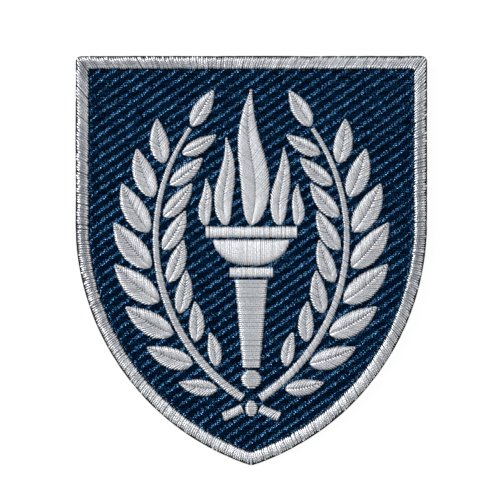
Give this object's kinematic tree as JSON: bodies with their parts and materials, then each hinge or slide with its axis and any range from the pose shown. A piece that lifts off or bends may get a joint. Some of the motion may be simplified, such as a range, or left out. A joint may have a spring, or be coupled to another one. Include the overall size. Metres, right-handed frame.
{
  "type": "embroidered unit patch",
  "caption": "Shield-shaped embroidered sleeve patch with a satin-stitched silver border and a raised silver torch and laurel wreath on a navy field stitched in blue slanting stripes.",
  "frame": {"origin": "middle of the flat back, on the surface that the patch lies on", "axes": "+X across the shield to the wearer's left, +Y up to the straight top edge, +Z out of the stitched face"},
  "size_m": [0.07, 0.0815, 0.0023],
  "materials": {
    "black_twill": "matt woven twill, cut edge",
    "navy_thread": "glossy fill stitching with lighter blue stripes at the stitch ends",
    "silver_thread": "glossy satin stitching"
  },
  "bodies": {
    "root": {"base_cloth": "black_twill", "ground_fill": "navy_thread", "satin_border": "silver_thread", "stem_left": "silver_thread", "stem_right": "silver_thread", "tail_left": "silver_thread", "tail_right": "silver_thread", "stem_tie": "silver_thread", "leaf_left_outer_1": "silver_thread", "leaf_left_outer_2": "silver_thread", "leaf_left_outer_3": "silver_thread", "leaf_left_outer_4": "silver_thread", "leaf_left_outer_5": "silver_thread", "leaf_left_outer_6": "silver_thread", "leaf_left_outer_7": "silver_thread", "leaf_left_outer_8": "silver_thread", "leaf_left_inner_1": "silver_thread", "leaf_left_inner_2": "silver_thread", "leaf_left_inner_3": "silver_thread", "leaf_left_inner_4": "silver_thread", "leaf_left_inner_5": "silver_thread", "leaf_left_inner_6": "silver_thread", "leaf_left_inner_7": "silver_thread", "leaf_left_inner_8": "silver_thread", "leaf_right_outer_1": "silver_thread", "leaf_right_outer_2": "silver_thread", "leaf_right_outer_3": "silver_thread", "leaf_right_outer_4": "silver_thread", "leaf_right_outer_5": "silver_thread", "leaf_right_outer_6": "silver_thread", "leaf_right_outer_7": "silver_thread", "leaf_right_outer_8": "silver_thread", "leaf_right_inner_1": "silver_thread", "leaf_right_inner_2": "silver_thread", "leaf_right_inner_3": "silver_thread", "leaf_right_inner_4": "silver_thread", "leaf_right_inner_5": "silver_thread", "leaf_right_inner_6": "silver_thread", "leaf_right_inner_7": "silver_thread", "leaf_right_inner_8": "silver_thread", "leaf_left_end": "silver_thread", "leaf_right_end": "silver_thread", "torch_knob": "silver_thread", "torch_grip": "silver_thread", "torch_collar": "silver_thread", "torch_bowl": "silver_thread", "torch_rim": "silver_thread", "flame_1": "silver_thread", "flame_2": "silver_thread", "flame_3": "silver_thread", "flame_4": "silver_thread", "flame_5": "silver_thread"}
  },
  "joints": []
}
